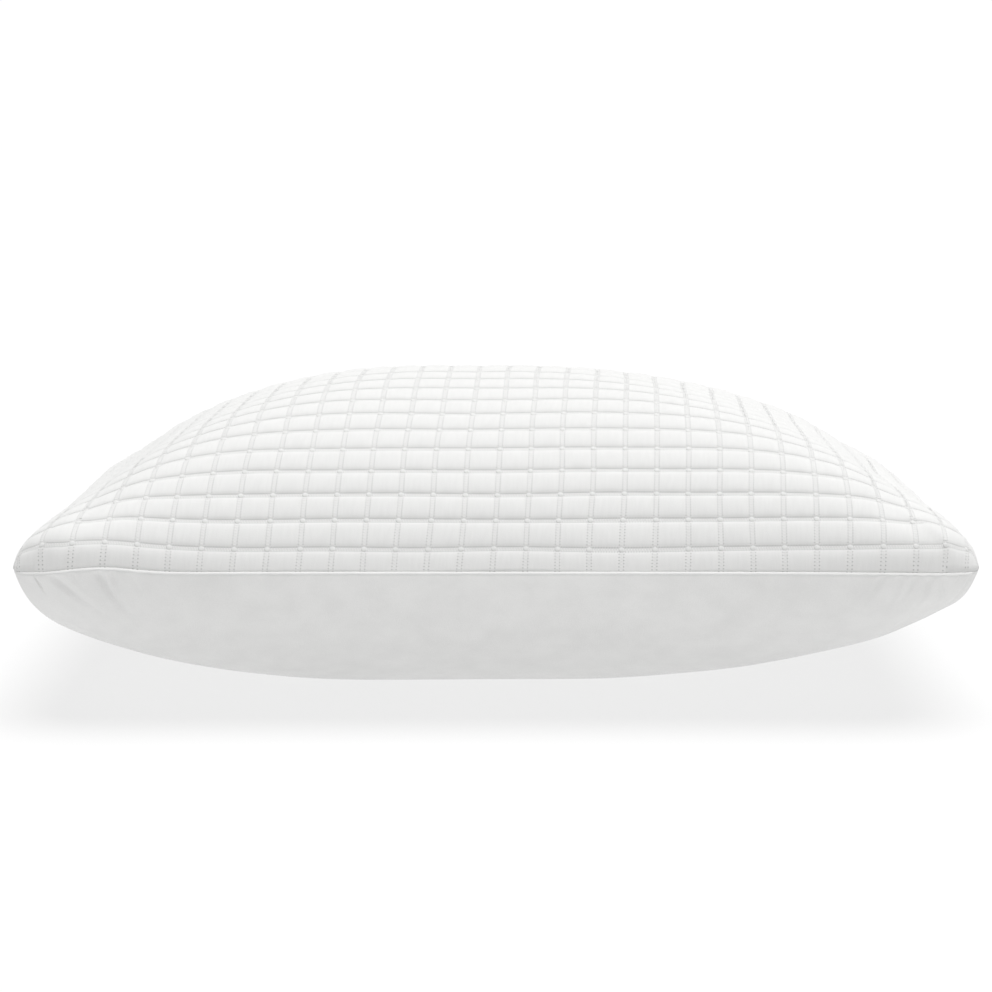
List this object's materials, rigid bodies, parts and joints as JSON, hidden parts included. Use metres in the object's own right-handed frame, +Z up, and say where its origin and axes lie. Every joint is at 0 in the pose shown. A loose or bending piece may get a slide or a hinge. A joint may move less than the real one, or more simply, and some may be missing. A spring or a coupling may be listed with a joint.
{
  "type": "bed pillow",
  "caption": "Plump rectangular bed pillow with a check-quilted top panel, a plain brushed lower panel, a zipped back seam and a lined inner fill.",
  "frame": {"origin": "on the rest surface, under the middle of the pillow", "axes": "+X along the long side, +Y towards the zipped back seam, +Z up from the rest surface to the crown"},
  "size_m": [0.654, 0.4213, 0.216],
  "materials": {
    "quilted_jersey": "matte quilted knit",
    "wadding": "loft fibre",
    "backing": "thin nonwoven",
    "brushed_jersey": "short brushed nap",
    "zip_tape": "woven tape",
    "nylon_coil": "semi-gloss",
    "zinc": "plated zinc",
    "satin_label": "satin tape",
    "liner": "plain weave",
    "fibre_fill": "loose fibre and foam"
  },
  "bodies": {
    "cover": {"top_panel_face": "quilted_jersey", "top_panel_wadding": "wadding", "top_panel_backing": "backing", "bottom_panel": "brushed_jersey", "zip_tape_upper": "zip_tape", "zip_tape_lower": "zip_tape", "zip_coil_upper": "nylon_coil", "zip_coil_lower": "nylon_coil", "zip_top_stops": "zinc", "zip_bottom_stop": "zinc", "care_label": "satin_label", "liner_top": "liner", "liner_bottom": "liner", "fill": "fibre_fill"},
    "slider": {"zip_slider_body": "zinc"},
    "pull_tab": {"zip_pull_tab": "zinc"}
  },
  "joints": [
    {"name": "slider_travel", "type": "slide", "parent": "cover", "child": "slider", "axis": [-1, 0, 0], "range_m": [0, 0.368]},
    {"name": "pull_tab_swing", "type": "hinge", "parent": "slider", "child": "pull_tab", "pos_m": [0.1841, 0.2099, 0.103], "axis": [0, 0, -1], "range_deg": [0, 170]}
  ]
}
